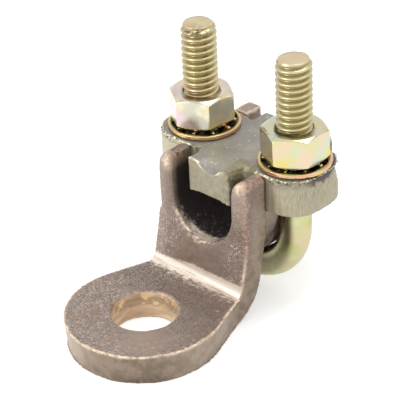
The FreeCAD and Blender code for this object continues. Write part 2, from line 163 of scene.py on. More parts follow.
def dress(piece, node, material):
    """The piece stands for the CAD node, rides on its body and wears the material."""
    piece.data.materials.clear()
    piece.data.materials.append(material)
    piece.data.polygons.foreach_set("use_smooth", [True] * len(piece.data.polygons))
    bodies = frame["record"]["behaviour"]["bodies"]
    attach(piece, next(body for body, nodes in bodies.items() if node in nodes))
    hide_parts(node)


def rounded_copy(node, name, voxel):
    """A copy of a CAD node's mesh with even faces, its edges softly rounded."""
    copy = add_object(name, frame["nodes"][node].data.copy())
    even = copy.modifiers.new("even", "REMESH")
    even.mode = "VOXEL"
    even.voxel_size = voxel
    soft = copy.modifiers.new("soft", "SMOOTH")
    soft.factor = 0.5
    soft.iterations = SOFT_PASSES
    made = bpy.data.meshes.new_from_object(copy.evaluated_get(bpy.context.evaluated_depsgraph_get()))
    copy.modifiers.clear()
    copy.data = made
    return copy


def read_points(mesh):
    """The mesh's points and normals, one row each."""
    count = len(mesh.vertices)
    points = np.empty(count * 3)
    normals = np.empty(count * 3)
    mesh.vertices.foreach_get("co", points)
    mesh.vertex_normals.foreach_get("vector", normals)
    return points.reshape(-1, 3), normals.reshape(-1, 3)


def write_points(mesh, points):
    """Moves the mesh's points and gives the new points and normals back."""
    mesh.vertices.foreach_set("co", points.ravel())
    mesh.update()
    return read_points(mesh)


def write_masks(mesh, masks):
    """Values from 0 to 1 at each point, which materials read by their names."""
    for name, values in masks.items():
        mask = mesh.attributes.new(name, "FLOAT", "POINT")
        mask.data.foreach_set("value", np.clip(values, 0, 1).astype(np.float32))


def step(values, low, high):
    """0 below low, 1 above high, and smooth between."""
    share = np.clip((values - low) / (high - low), 0, 1)
    return share * share * (3 - 2 * share)


def below(values, low, high):
    """1 below low, 0 above high, and smooth between."""
    return 1 - step(values, low, high)


def hump(values, middle, width):
    """1 at the middle, fading to 0 on both sides."""
    return np.exp(-((values - middle) / width) ** 2)


def field(points, size, seed, layers=3):
    """Smooth noise from about -1 to 1, with features of a size in metres."""
    shift = Vector((seed * 17.3, seed * 5.1, seed * 9.7))
    return np.array([noise.fractal(Vector(p) / size + shift, 0.9, 2.0, layers) for p in points])


class Neighbours:
    """The points joined by edges of a mesh, for averages along its surface."""

    def __init__(self, mesh):
        edges = np.empty(len(mesh.edges) * 2, dtype=np.int64)
        mesh.edges.foreach_get("vertices", edges)
        self.first, self.second = edges.reshape(-1, 2).T
        self.count = np.bincount(edges, minlength=len(mesh.vertices)).reshape(-1, 1)

    def mean(self, rows):
        total = np.zeros_like(rows)
        np.add.at(total, self.first, rows[self.second])
        np.add.at(total, self.second, rows[self.first])
        return total / self.count

    def soften(self, points, share, rounds):
        """The points drawn towards their neighbours' average, as far as the share says."""
        for _ in range(rounds):
            points = points + (self.mean(points) - points) * share[:, None]
        return points

    def sharpness(self, points, normals, rounds):
        """How far each point stands out of its smoothed surroundings, in millimetres."""
        soft = self.soften(points, np.ones(len(points)), rounds)
        return np.einsum("ij,ij->i", points - soft, normals) / MM


# Camera: the photograph's own view
def add_camera():
    """A long lens at the photograph's angle."""
    azimuth, elevation, roll = (math.radians(turn) for turn in CAMERA_TURNS)
    back = Vector((math.sin(azimuth) * math.cos(elevation), -math.cos(azimuth) * math.cos(elevation),
                   math.sin(elevation)))
    level = Vector((math.cos(azimuth), math.sin(azimuth), 0))
    above = back.cross(level)
    across = level * math.cos(roll) + above * math.sin(roll)
    upward = above * math.cos(roll) - level * math.sin(roll)
    lens = bpy.data.cameras.new("camera")
    lens.sensor_width = 36
    lens.lens = FOCAL_PIXELS / IMAGE_WIDTH * lens.sensor_width
    lens.clip_start = 0.01
    camera = bpy.data.objects.new("camera", lens)
    bpy.context.scene.collection.objects.link(camera)
    facing = Matrix((across, upward, back)).transposed().to_4x4()
    camera.matrix_world = Matrix.Translation(CAMERA_PLACE) @ facing
    bpy.context.scene.camera = camera


# Materials
def tint(red, green, blue):
    """A colour given as it looks on screen, from 0 to 255, as the shader's own values."""
    shares = [value / 255 for value in (red, green, blue)]
    return [s / 12.92 if s <= 0.04045 else ((s + 0.055) / 1.055) ** 2.4 for s in shares] + [1]


class Paint:
    """A material in the making: short names for the shader nodes that it is built from."""

    def __init__(self, name, metallic):
        self.material = bpy.data.materials.new(name)
        self.material.use_nodes = True
        self.nodes = self.material.node_tree.nodes
        self.links = self.material.node_tree.links
        self.shader = self.nodes["Principled BSDF"]
        self.shader.inputs["Metallic"].default_value = metallic
        self.place = self.nodes.new("ShaderNodeTexCoord").outputs["Object"]

    def feed(self, socket, value):
        if isinstance(value, bpy.types.NodeSocket):
            self.links.new(value, socket)
        else:
            socket.default_value = value

    def calculate(self, operation, *values):
        node = self.nodes.new("ShaderNodeMath")
        node.operation = operation
        for socket, value in zip(node.inputs, values):
            self.feed(socket, value)
        return node.outputs[0]

    def times(self, first, second):
        return self.calculate("MULTIPLY", first, second)

    def mask(self, name):
        node = self.nodes.new("ShaderNodeAttribute")
        node.attribute_name = name
        return node.outputs["Fac"]

    def grain(self, size, detail=3.0, roughness=0.5, shift=0.0):
        """Noise from 0 to 1 with features of a size in metres, or of one size along each axis."""
        sizes = size if isinstance(size, tuple) else (size,) * 3
        stretch = self.nodes.new("ShaderNodeMapping")
        self.feed(stretch.inputs["Vector"], self.place)
        stretch.inputs["Location"].default_value = (shift, shift, shift)
        stretch.inputs["Scale"].default_value = [1 / length for length in sizes]
        node = self.nodes.new("ShaderNodeTexNoise")
        self.feed(node.inputs["Vector"], stretch.outputs["Vector"])
        node.inputs["Scale"].default_value = 1
        node.inputs["Detail"].default_value = detail
        node.inputs["Roughness"].default_value = roughness
        return node.outputs["Fac"]

    def ramp(self, value, low, high, start=0.0, stop=1.0):
        node = self.nodes.new("ShaderNodeMapRange")
        node.interpolation_type = "SMOOTHSTEP"
        for socket, number in zip(node.inputs[:5], (value, low, high, start, stop)):
            self.feed(socket, number)
        return node.outputs[0]

    def mix(self, first, second, share):
        node = self.nodes.new("ShaderNodeMix")
        node.data_type = "RGBA"
        factor, lower, upper = (node.inputs[index] for index in (0, 6, 7))
        self.feed(factor, share)
        self.feed(lower, first)
        self.feed(upper, second)
        return node.outputs[2]

    def cover(self, under, over, mask, share=1.0):
        """Lays a colour over another where a mask says so, at most by the share."""
        return self.mix(under, over, self.times(self.mask(mask), share))

    def bump(self, height, distance):
        """Relief of a height from 0 to 1 over a distance in metres, on top of what is there."""
        node = self.nodes.new("ShaderNodeBump")
        node.inputs["Strength"].default_value = 1
        node.inputs["Distance"].default_value = distance
        self.feed(node.inputs["Height"], height)
        under = self.shader.inputs["Normal"].links
        if under:
            self.feed(node.inputs["Normal"], under[0].from_socket)
        self.feed(self.shader.inputs["Normal"], node.outputs["Normal"])

    def finish(self, colour, roughness):
        self.feed(self.shader.inputs["Base Color"], colour)
        self.feed(self.shader.inputs["Roughness"], roughness)
        return self.material


def cast_skin(paint):
    """The casting's brown skin: gritty or smooth, with rusty patches, pale places that are partly painted
    light, and light grains painted as glints.
    """
    fine = paint.ramp(paint.grain(0.32 * MM, 3, 0.65), 0.38, 0.62)
    coarse = paint.grain(2.2 * MM, 3, 0.55)
    grit = paint.calculate("ADD", paint.times(fine, 0.6), paint.times(coarse, 0.4))
    gritty = paint.mix(tint(78, 65, 59), tint(188, 172, 161), grit)
    smooth = paint.mix(tint(130, 110, 99), tint(148, 129, 117), coarse)
    colour = paint.mix(smooth, gritty, paint.mask("grit"))
    rusty = paint.ramp(paint.grain(5 * MM, 3, 0.5), 0.45, 0.65, 0, 0.3)
    colour = paint.mix(colour, tint(142, 110, 88), rusty)
    colour = paint.cover(colour, tint(216, 196, 180), "pale_and_lit", 0.7)
    # Light grains painted as glints
    grains = paint.ramp(paint.grain(0.4 * MM, 2, 0.6), 0.56, 0.64)
    return paint.mix(colour, tint(236, 218, 202), paint.times(grains, paint.mask("specks")))


def ground_sides(paint, scratches):
    """Ground metal with upright scratches, darker patches, fine dark grains and pale places that are partly
    painted light.
    """
    colour = paint.mix(tint(142, 124, 106), tint(170, 152, 134), scratches)
    colour = paint.mix(colour, tint(132, 115, 94), paint.ramp(paint.grain(2.5 * MM, 3), 0.4, 0.65))
    grains = paint.ramp(paint.grain(0.35 * MM, 3, 0.65), 0.5, 0.68, 0, 0.35)
    colour = paint.mix(colour, tint(110, 92, 76), grains)
    return paint.cover(colour, tint(214, 196, 178), "pale_and_lit", 0.8)


def bright_bend(paint, lines):
    """The bend's polished, drawn-out metal, lined along it, painted bright as a highlight, with a painted
    sheen over it.
    """
    colour = paint.mix(tint(172, 148, 130), tint(255, 238, 220), paint.ramp(lines, 0.3, 0.65))
    return paint.cover(colour, tint(255, 246, 234), "sheen", 0.85)


def drilled_bore(paint, colour):
    """The stud hole's wall in level bands, with golden chips above in painted shade."""
    bands = paint.grain((6 * MM, 6 * MM, 1.3 * MM), 3, 0.5)
    drilled = paint.mix(tint(196, 168, 136), tint(226, 202, 170), paint.ramp(bands, 0.35, 0.65))
    colour = paint.cover(colour, drilled, "bore")
    colour = paint.cover(colour, tint(252, 222, 176), "gold", 0.75)
    return paint.cover(colour, tint(150, 118, 86), "bore_shade", 0.55)


def dirt_wear_and_painted_light(paint, colour):
    """Reddish places, painted shade, the notch darkened inside as painted shade with loose grains on its
    floor, worn bright metal that is partly painted highlight, and painted highlights on the notch's sill
    and along the bend's foot.
    """
    colour = paint.cover(colour, tint(214, 172, 150), "copper", 0.75)
    colour = paint.cover(colour, tint(92, 76, 68), "shade", 0.75)
    # Painted shade inside the notch and the trough
    colour = paint.cover(colour, tint(46, 40, 42), "inside_shade", 0.94)
    stones = paint.ramp(paint.grain(0.45 * MM, 2, 0.6), 0.5, 0.75)
    colour = paint.cover(colour, paint.mix(tint(78, 70, 72), tint(184, 176, 176), stones), "gravel")
    tears = paint.ramp(paint.grain(0.5 * MM, 2, 0.6), 0.4, 0.56)
    # Painted highlights on the notch's sill and along the bend's foot
    colour = paint.cover(colour, paint.mix(tint(176, 164, 156), tint(255, 250, 244), tears), "silver_highlight")
    return paint.cover(colour, tint(252, 228, 202), "bright")


def bronze_paint():
    """Sand-cast bronze: a gritty brown skin, ground sides, a bend painted bright as a highlight, a drilled
    bore, edges that are worn and partly painted highlights, and painted shade in the notch.
    """
    paint = Paint("cast_bronze", metallic=0.45)
    scratches = paint.grain((0.35 * MM, 0.35 * MM, 6 * MM), 3, 0.6)
    lines = paint.grain((9 * MM, 0.25 * MM, 0.25 * MM), 4, 0.65)
    grit = paint.mask("grit")
    colour = paint.cover(cast_skin(paint), ground_sides(paint, scratches), "ground")
    colour = paint.cover(colour, bright_bend(paint, lines), "bend")
    colour = dirt_wear_and_painted_light(paint, drilled_bore(paint, colour))
    paint.bump(paint.times(paint.grain(0.4 * MM, 4, 0.65), grit), 0.08 * MM)
    paint.bump(paint.times(scratches, paint.mask("ground")), 0.012 * MM)
    paint.bump(paint.times(lines, paint.mask("bend")), 0.03 * MM)
    return paint.finish(colour, paint.ramp(grit, 0, 1, 0.45, 0.62))


def saddle_side(paint, strokes):
    """The yellowish sides, mottled and on the right brushed."""
    mottled = paint.ramp(paint.grain(1.4 * MM, 4, 0.6), 0.3, 0.7)
    side = paint.mix(tint(164, 157, 132), tint(184, 176, 152), mottled)
    return paint.mix(side, tint(200, 190, 164), paint.times(strokes, paint.mask("brushed")))


def saddle_top(paint):
    """The flat grey top, olive towards its rims, with small bright dents."""
    patches = paint.ramp(paint.grain(5 * MM, 3), 0.35, 0.65)
    top = paint.mix(tint(148, 144, 138), tint(162, 157, 144), patches)
    top = paint.cover(top, tint(148, 140, 108), "olive", 0.8)
    dents = paint.ramp(paint.grain(0.55 * MM, 2), 0.64, 0.72)
    return paint.mix(top, tint(226, 220, 206), paint.times(dents, 0.8))


def saddle_paint():
    """Sand-cast bronze, yellower, with a flat grey top, plain sides, a bright torn rim and painted light on
    the left ear's sides.
    """
    paint = Paint("clamp_bronze", metallic=0.45)
    strokes = paint.ramp(paint.grain((0.3 * MM, 0.3 * MM, 9 * MM), 3, 0.6), 0.35, 0.7)
    colour = paint.cover(saddle_side(paint, strokes), saddle_top(paint), "top")
    colour = paint.cover(colour, tint(134, 126, 94), "flute", 0.7)
    colour = paint.cover(colour, tint(62, 60, 74), "slate", 0.8)
    colour = paint.cover(colour, tint(252, 246, 218), "edge")
    holes = paint.ramp(paint.grain(0.5 * MM, 3, 0.6), 0.5, 0.42)
    colour = paint.mix(colour, tint(84, 76, 60), paint.times(holes, paint.mask("pitted")))
    paint.bump(paint.times(strokes, paint.mask("brushed")), 0.02 * MM)
    paint.bump(paint.grain(0.6 * MM, 3), 0.03 * MM)
    return paint.finish(colour, 0.5)


def zinc_paint(name, shades, crown_and_top_shade, patch_size, roughness, shift=0.0):
    """Yellow-passivated zinc: bright metal in a film whose colour drifts over the surface."""
    paint = Paint(name, metallic=0.92)
    colour = shades[0]
    for number, shade in enumerate(shades[1:], start=1):
        drift = paint.grain(patch_size, 2, 0.4, shift + 3.7 * number)
        colour = paint.mix(colour, shade, paint.ramp(drift, 0.45, 0.62))
    # Another tint where the mask says: the rod's threaded part in its own colour, and the nuts' tops darker
    # as painted shade
    colour = paint.cover(colour, crown_and_top_shade, "crown_and_top_shade", 0.6)
    reddish = paint.ramp(paint.grain(4 * MM, 2, 0.4, shift), 0.35, 0.65, 0.35, 0.85)
    colour = paint.mix(colour, tint(222, 166, 146), paint.times(reddish, paint.mask("copper")))
    # Painted shade: darker in the threads' valleys, the nuts' entries and holes, between the washers' teeth
    # and on the rod's side towards the casting; the rod's torn chips and the nuts' specks are real dirt
    colour = paint.cover(colour, tint(126, 106, 50), "valley_shade", 0.6)
    colour = paint.cover(colour, tint(30, 24, 16), "grime_and_shade", 0.9)
    paint.bump(paint.grain(0.9 * MM, 2), 0.004 * MM)
    paint.bump(paint.times(paint.grain(0.35 * MM, 3, 0.6), paint.mask("crown_and_top_shade")), 0.016 * MM)
    shine = paint.ramp(paint.grain(2 * MM, 2), 0.3, 0.7, roughness - 0.03, roughness + 0.06)
    return paint.finish(colour, shine)


# Lug body
class LugSkin:
    """Where each stretch of the lug's surface is, as shares from 0 to 1. Works in millimetres."""

    def __init__(self, points, normals):
        self.points = points
        self.x, self.y, self.z = points.T / MM
        self.nx, self.ny, self.nz = normals.T
        self.reach = np.hypot(self.x, self.y)
        self.notch_reach = np.hypot(self.x, self.z - NOTCH_CENTRE)
        self.leftward = -(self.x + self.y) / math.sqrt(2)
        self.climb = self.y + self.z - BEND_FOOT - PALM_TOP
        self.torn = field(points, 0.8 * MM, 11)
        self.patchy = field(points, 3 * MM, 12)
        self.sheer = below(np.abs(self.nz), 0.35, 0.75)
        self.bore = self.find_bore()
        self.flank = self.find_flank()
        self.bend, self.highlit_foot = self.find_bend()
        self.palm_side = self.sheer * (self.z < PALM_TOP + 0.8) * (self.y < 15) * (self.reach > 10)
        self.ground = self.find_ground()
        self.plain = np.maximum.reduce([self.ground, self.bore, self.bend])
        self.front = self.find_front()
        self.palm = self.find_palm()
        self.smooth_spot = hump(np.hypot(self.x - 8, self.y + 8), 0, 6)
        self.inside = self.find_inside()
        self.left_horn = (self.x < -6) * (self.y < PLATE_FRONT + 4)

    def find_bore(self):
        near = below(self.reach, STUD_RADIUS + 0.5, STUD_RADIUS + 0.9)
        return self.sheer * near * (self.z < PALM_TOP + 1)

    def find_flank(self):
        """The side faces of both plates and of the trough between them."""
        return step(np.abs(self.nx), 0.5, 0.8) * step(np.abs(self.x), NECK_HALF - 0.7, NECK_HALF - 0.3)

    def find_bend(self):
        """The bend between palm and plate, lower on the left, and the painted highlights along its foot."""
        ragged = 1.3 * field(self.points * (0.35, 1, 1), 0.45 * MM, 13)
        crest = 4.6 - 1.2 * step(-self.x, 0, 12) + 0.25 * self.torn
        band = step(self.climb + ragged, -0.5, 0.7) * below(self.climb, crest, crest + 0.6)
        foot_glints = hump(self.climb + 0.6 * ragged, -0.6, 0.8) * step(self.torn, 0.05, 0.25)
        foot_glints = foot_glints * below(self.x, 2, 8)
        between = (self.y < PLATE_FRONT) * (self.z > PALM_TOP - 0.3) * (1 - self.flank)
        return band * between * (self.ny < 0.3), foot_glints * between

    def find_ground(self):
        """The palm's ground sides, and the plate's up to a slanted line."""
        slant = self.z - 14 - 2.02 * (self.y - 18.5)
        strip = self.flank * (self.y >= 12) * (self.y < PLATE_BACK + 0.5) * below(slant, -0.8, 0.8)
        return np.maximum(self.palm_side, strip) * (1 - self.bore)

    def find_front(self):
        """The front face of the front plate, above the bend."""
        return step(-self.ny, 0.5, 0.8) * (self.y < PLATE_FRONT + 1) * (self.y > 12) * (1 - self.bend)

    def find_palm(self):
        level = step(self.nz, 0.7, 0.9) * (np.abs(self.z - PALM_TOP) < 0.8)
        return level * (1 - self.bore) * (1 - self.bend)

    def find_inside(self):
        """The inside of the notch and the trough."""
        within = (np.abs(self.x) < NOTCH_HALF + 0.6) * (self.y < REAR_FRONT - 0.2) * (self.z > 14)
        return within * step(self.y, PLATE_FRONT + 0.5, PLATE_FRONT + 1.8)


def lip_share(skin):
    """The rough lip along the bottom of the cable notch."""
    bottom = hump(skin.notch_reach, NOTCH_HALF, 0.9) * (skin.z < NOTCH_CENTRE - 3.5)
    return bottom * below(skin.y, PLATE_FRONT + 1.2, PLATE_FRONT + 2.2)


def sill_share(skin):
    """The torn metal behind that lip, from its middle to the left, painted bright as a highlight."""
    low = (skin.notch_reach < NOTCH_HALF + 0.5) * below(skin.z + skin.torn, 16.2, 17.4)
    starts = step(skin.y, PLATE_FRONT - 0.3, PLATE_FRONT + 0.2)
    ends = below(skin.y + 0.8 * skin.torn, PLATE_FRONT + 1.6, PLATE_FRONT + 2.2)
    return low * below(skin.x + 3 * skin.torn, 1, 4) * starts * ends


def horn_share(points):
    """The upper parts of the front plate's horns."""
    y, z = points[:, 1:].T / MM
    return step(z, HORN_TOP - 4.5, HORN_TOP - 1.5) * below(y, PLATE_FRONT + 1, PLATE_FRONT + 2.5)


def draft(points):
    """How far the palm's sides lean in towards the underside, apart from the front right."""
    x, y, z = points.T / MM
    facing = np.degrees(np.arctan2(y, x)) + 45
    lean = DRAFT * np.clip(1 - z / PALM_TOP, 0, 1) * step(np.abs(facing), 15, 60)
    return lean * below(y, 9, 16) * (np.hypot(x, y) > 10)


def lug_relief(skin):
    """Relief of the cast skin in millimetres, faint on the machined faces and rough on the notch's lip."""
    cast = 0.07 * field(skin.points, 1.2 * MM, 1) + 0.1 * field(skin.points, 6 * MM, 2, 2)
    return cast * (1 - 0.8 * skin.plain) + lip_share(skin) * (0.14 * skin.torn - 0.05)


def wear_lug(mesh):
    """The casting's own shape: worn horns, leaning sides and relief, on a flat contact face."""
    points, normals = read_points(mesh)
    points = Neighbours(mesh).soften(points, 0.5 * horn_share(points), HORN_ROUNDS)
    points, normals = write_points(mesh, points - normals * (1, 1, 0) * draft(points)[:, None])
    points = points + normals * (lug_relief(LugSkin(points, normals)) * MM)[:, None]
    points[:, 2] = np.maximum(points[:, 2], LUG_LOW.z)
    return write_points(mesh, points)


def calm_share(skin):
    """Smooth are the palm's front and right, the middle of the plate and, by half, the rest."""
    palm = skin.smooth_spot + 0.5 * step(-skin.leftward, 4, 12)
    rest = 0.5 + 0.5 * skin.front * hump(np.hypot(skin.x + 0.5, skin.z - 13), 0, 6)
    return skin.palm * palm + (1 - skin.palm) * rest


def pale_share(skin):
    """Pale places on the palm, the plate and the trough's sides, and painted light on the palm's sides and
    the rear horns' tops.
    """
    palm = 0.1 * step(skin.leftward, 2, 12) + 0.36 * skin.smooth_spot
    front = 0.4 * step(-skin.x, 9, 12) + 0.5 * step(skin.x, 7, 10) * step(skin.z, 20, 28)
    side = 0.8 * step(skin.leftward, 9, 17) + 0.3 * step(-skin.leftward, 2, 12) * below(skin.y, 8, 14.5)
    trough = skin.flank * (1 - skin.ground) * step(skin.y, 19, 22)
    rear = (skin.y > REAR_FRONT - 3.2) * (skin.z > HORN_TOP - 1) * step(skin.nz, 0.5, 0.8)
    return skin.palm * palm + skin.front * front + skin.palm_side * side + 0.25 * trough + 0.45 * rear


def glint_share(skin, calm):
    """Painted glints: light grains along the plate's left and right, and on the palm's left and back."""
    front = 0.65 * step(skin.x, 6, 9) + 0.3 * step(-skin.x, 9.5, 11.5)
    front = front + 0.7 * step(-skin.x, 4, 8) * below(skin.z, 16, 22)
    palm = (0.55 * step(skin.leftward, -3, 6) + 0.6 * step(skin.y, 9, 14)) * (1 - calm)
    return (skin.front * front + skin.palm * palm) * (0.8 + 0.7 * skin.patchy)


def sheen_share(skin):
    """The bend shines along both edges on the left and across its middle on the right."""
    right = step(skin.x, -4, 4)
    edges = 1.2 * hump(skin.climb, 3.3, 0.6) + hump(skin.climb, 0.5, 0.9) * (0.9 + 1.2 * skin.torn)
    middle = hump(skin.climb, 3.1, 1.2) * (1.1 + 0.6 * skin.torn)
    return (1 - right) * edges + right * middle


def bore_marks(skin):
    """The golden chips in the upper back of the stud hole, and painted shade around them."""
    upper = skin.bore * step(skin.z + 0.9 * skin.patchy, 3.2, 3.6) * (skin.y > -2)
    chips = upper * step(field(skin.points, 1.7 * MM, 14) - 0.03 * np.abs(skin.x + 4), -0.05, 0.15)
    return chips, upper * (1 - chips) * below(skin.z, 5.2, 6)


def bright_edges(skin, sharp):
    """Bright edges along the palm's upper rim, up the plate's right corner and around the rear horns: wear,
    and painted highlights.
    """
    rim = hump(skin.z, PALM_TOP - 0.15, 0.42) * (skin.y < 16)
    rim = rim * np.maximum(step(skin.reach, 11, 12.5), 0.35 * below(skin.reach, 7.5, 8.0))
    corner = (np.abs(skin.x - NECK_HALF) < 1) * (skin.y > 12) * (skin.y < PLATE_FRONT + 1)
    corner = corner * below(skin.z, 13, 18)
    rear = (skin.y > REAR_FRONT - 3.2) * (skin.z > HORN_TOP - 2)
    rim = rim * (0.8 + 0.7 * skin.torn + 0.4 * skin.patchy)
    return sharp * (rim + 0.45 * corner * (1 + skin.torn) + 0.6 * rear)


def bright_spots(skin):
    """Bright spots on the fronts of both horns, near their tops: wear, and painted highlights."""
    left = hump(skin.x, -10.2, 1.2) * hump(skin.z, HORN_TOP - 1.9, 1.8) * (skin.y < PLATE_FRONT + 1.5)
    right = hump(skin.x, 10.8, 1.1) * hump(skin.z, HORN_TOP - 1.2, 1.2) * (skin.y < PLATE_FRONT + 2)
    return (left + right) * (0.9 + 0.8 * skin.torn)


def copper_share(skin, sharp):
    """Reddish metal on the plate's right edge, the right horn's ridge and the left horn's top."""
    edge = (np.abs(skin.x - NECK_HALF) < 1.2) * (skin.y < PLATE_FRONT + 1.2) * step(skin.z, 14, 19)
    edge = edge * step(skin.torn + 0.5 * skin.patchy, -0.3, 0.1)
    ridge = (skin.z > HORN_TOP - 1.6) * (skin.x > 10) * (skin.y > PLATE_FRONT)
    crust = step(skin.z, HORN_TOP - 3.5, HORN_TOP - 1.5) * step(skin.patchy - skin.torn, 0, 0.3)
    return sharp * (edge + ridge) + 0.6 * skin.left_horn * crust


def shade_share(skin):
    """Darker are the palm's side towards the camera, its back, and pits in the left horn's top."""
    side = skin.palm_side * hump(skin.leftward, 0.5, 5) * below(skin.z, 0.5, 4.5)
    pits = step(skin.torn, 0.1, 0.35) * step(skin.z, HORN_TOP - 2, HORN_TOP - 0.8)
    palm = 0.25 * skin.palm * step(skin.y, 4, 9)
    return side * (0.7 + 0.6 * skin.torn) + skin.left_horn * pits + palm


def gravel_share(skin):
    """Loose grains on the floor of the notch, more of them towards its front."""
    floor = (np.abs(skin.x) < 7) * below(skin.z, 16.5, 19) * below(skin.y, 25, 31)
    return 0.8 * skin.inside * floor * step(skin.torn + 0.6 * below(skin.y, 19, 26), 0.2, 0.5)


def lug_masks(mesh, points, normals):
    """What the bronze paint reads at each point of the lug."""
    skin = LugSkin(points, normals)
    sharp = step(Neighbours(mesh).sharpness(points, normals, 3), 0.01, 0.06)
    calm = calm_share(skin)
    sill = sill_share(skin)
    chips, bore_shade = bore_marks(skin)
    # The lip is torn metal; the sill behind it is painted bright as a highlight
    lip = lip_share(skin) * (0.3 + skin.torn) * below(skin.x, 1, 5) + sill * step(skin.torn, -0.4, 0.1)
    return {
        "grit": (1 - skin.plain) * np.clip(1 - calm, 0.1, 1),
        "specks": glint_share(skin, calm),
        "ground": skin.ground,
        "bore": skin.bore,
        "gold": chips,
        "bore_shade": bore_shade,
        "bend": skin.bend,
        "sheen": sheen_share(skin),
        "pale_and_lit": pale_share(skin),
        "copper": copper_share(skin, sharp),
        "bright": bright_edges(skin, sharp) + bright_spots(skin) + lip,
        "silver_highlight": sill * (1 + 0.4 * skin.torn) + 0.7 * skin.highlit_foot,
        "shade": shade_share(skin),
        # Painted shade inside the notch and the trough
        "inside_shade": skin.inside * below(skin.z, 29, 31.5) * (1 - np.clip(sill, 0, 1)),
        "gravel": gravel_share(skin),
    }


def make_lug():
    lug = rounded_copy("lug_body", "lug_casting", LUG_VOXEL)
    points, normals = wear_lug(lug.data)
    write_masks(lug.data, lug_masks(lug.data, points, normals))
    dress(lug, "lug_body", bronze_paint())


# Clamp saddle
def soften_tongue(points, around):
    """Rounds the tongue's flute and the slope of its dip."""
    x, y, z = points.T / MM
    flute = below(y, SADDLE_FRONT + 5, SADDLE_FRONT + 7) * step(z, SADDLE_TOP - 4.5, SADDLE_TOP - 3.5)
    flute = flute * step(x, 2.5, 4) * below(x, 9, 10)
    slope = below(y, SADDLE_FRONT + 3, SADDLE_FRONT + 4) * step(y, SADDLE_FRONT + 0.2, SADDLE_FRONT + 0.8)
    slope = slope * step(z, SADDLE_TOP - 2.2, SADDLE_TOP - 1.6) * below(np.abs(x), 6, 7)
    points = around.soften(points, 0.9 * flute, FLUTE_ROUNDS)
    return around.soften(points, 0.9 * slope, SLOPE_ROUNDS)


def wear_saddle(mesh, around):
    """The tongue's upper edge is wavy and softened, and the right ear's shoulder slopes."""
    points, normals = read_points(mesh)
    x, y, z = points.T / MM
    wave = WAVE_DEPTH * hump(x, 0.2, 2.6) * below(y, SADDLE_FRONT + 0.2, SADDLE_FRONT + 4.2)
    wave = wave * np.clip((z - SADDLE_TOP + 4) / 4, 0, 1)
    slope = SHOULDER_SLOPE * step(x, 14, 18) * np.clip((z - (SADDLE_TOP - 5.4)) / 5.4, 0, 1)
    sheer = below(np.abs(normals[:, 2]), 0.35, 0.75)
    points = soften_tongue(points, around) - np.outer(wave, (0, 0, 1))
    return write_points(mesh, points - normals * (1, 1, 0) * (slope * sheer)[:, None])


class SaddleSkin:
    """The worn clamp piece before its burrs: shares from 0 to 1 along its rims, in millimetres."""

    def __init__(self, points, normals, around):
        self.x, self.y, self.z = points.T / MM
        self.torn = field(points, 0.7 * MM, 4)
        self.jagged = field(points, 1.5 * MM, 6)
        self.cast = field(points, 1.5 * MM, 5)
        self.ears = step(np.abs(self.x), 7, 9)
        self.left = step(-self.x, 7, 9)
        self.flute = below(self.y, SADDLE_FRONT + 6, SADDLE_FRONT + 7)
        self.flute = self.flute * step(self.x, 3.2, 4.4) * below(self.x, 8.6, 9.4)
        upper = step(self.z, SADDLE_TOP - 2.4, SADDLE_TOP - 1.4)
        front = below(self.y, SADDLE_FRONT + 0.4, SADDLE_FRONT + 0.9)
        edges = np.maximum(step(np.abs(self.x), 8.8, 9.2), front)
        narrow, wide, widest = (around.sharpness(points, normals, rounds) for rounds in (4, 14, 24))
        self.rim = step(narrow, 0.01, 0.045) * upper * (1 - 0.85 * self.flute) * edges
        self.band = step(wide, 0.03, 0.12) * upper
        self.olive = step(widest, 0.02, 0.25) * self.ears

    def relief(self):
        """The cast skin, the burr along the rim and the ears' jagged edges, in millimetres."""
        burr = self.rim * self.torn * (0.1 + 0.2 * self.ears) + 0.12 * self.flute * self.torn
        jags = self.band * self.ears * (0.25 * self.jagged + 0.15 * self.torn)
        return 0.03 * self.cast + burr + jags

    def masks(self, top):
        """What the saddle's paint reads at each point."""
        near_top = step(self.z, SADDLE_TOP - 2, SADDLE_TOP - 0.6) * (1 - top)
        lit_ear_side = self.left * (1 - top) * (self.z > SADDLE_TOP - 6)
        corner = step(self.x, 16, 18.5) * step(self.y, 29, 32)
        return {
            "top": top,
            "olive": self.olive,
            # The torn rim, and painted light on the left ear's sides
            "edge": self.rim * (1 + 0.9 * self.torn) + 0.35 * lit_ear_side,
            "flute": self.flute * step(self.y, SADDLE_FRONT, SADDLE_FRONT + 0.8) * (1 + 0.3 * self.torn),
            "slate": corner * step(self.z + self.jagged, SADDLE_TOP - 2.2, SADDLE_TOP - 1.4),
            "pitted": self.ears * np.maximum(self.band, near_top) * (0.9 + 0.1 * self.left),
            "brushed": 0.9 * step(self.x, 9, 11) * below(self.z, SADDLE_TOP - 2.5, SADDLE_TOP - 1.5),
        }


def make_saddle():
    saddle = rounded_copy("clamp_saddle", "clamp_casting", SADDLE_VOXEL)
    around = Neighbours(saddle.data)
    points, normals = read_points(saddle.data)
    top = step(normals[:, 2], 0.42, 0.6) * (points[:, 2] / MM > SADDLE_TOP - 2.4)
    points, normals = wear_saddle(saddle.data, around)
    skin = SaddleSkin(points, normals, around)
    write_points(saddle.data, points + normals * (skin.relief() * MM)[:, None])
    write_masks(saddle.data, skin.masks(top))
    dress(saddle, "clamp_saddle", saddle_paint())


# Threads: how much of half a pitch is crest and how much is flank, and how far the flank curves
CREST_SHARE = 0.14
FLANK_SHARE = 0.7
FLANK_CURVE = 0.3


def thread_radius(phase):
    """The bolt's radius at a share of the pitch from 0 to 1. The crest is in the middle."""
    down = np.clip((np.abs(phase - 0.5) * 2 - CREST_SHARE) / FLANK_SHARE, 0, 1)
    return THREAD_RADIUS - THREAD_DEPTH * ((1 - FLANK_CURVE) * down + FLANK_CURVE * step(down, 0, 1))


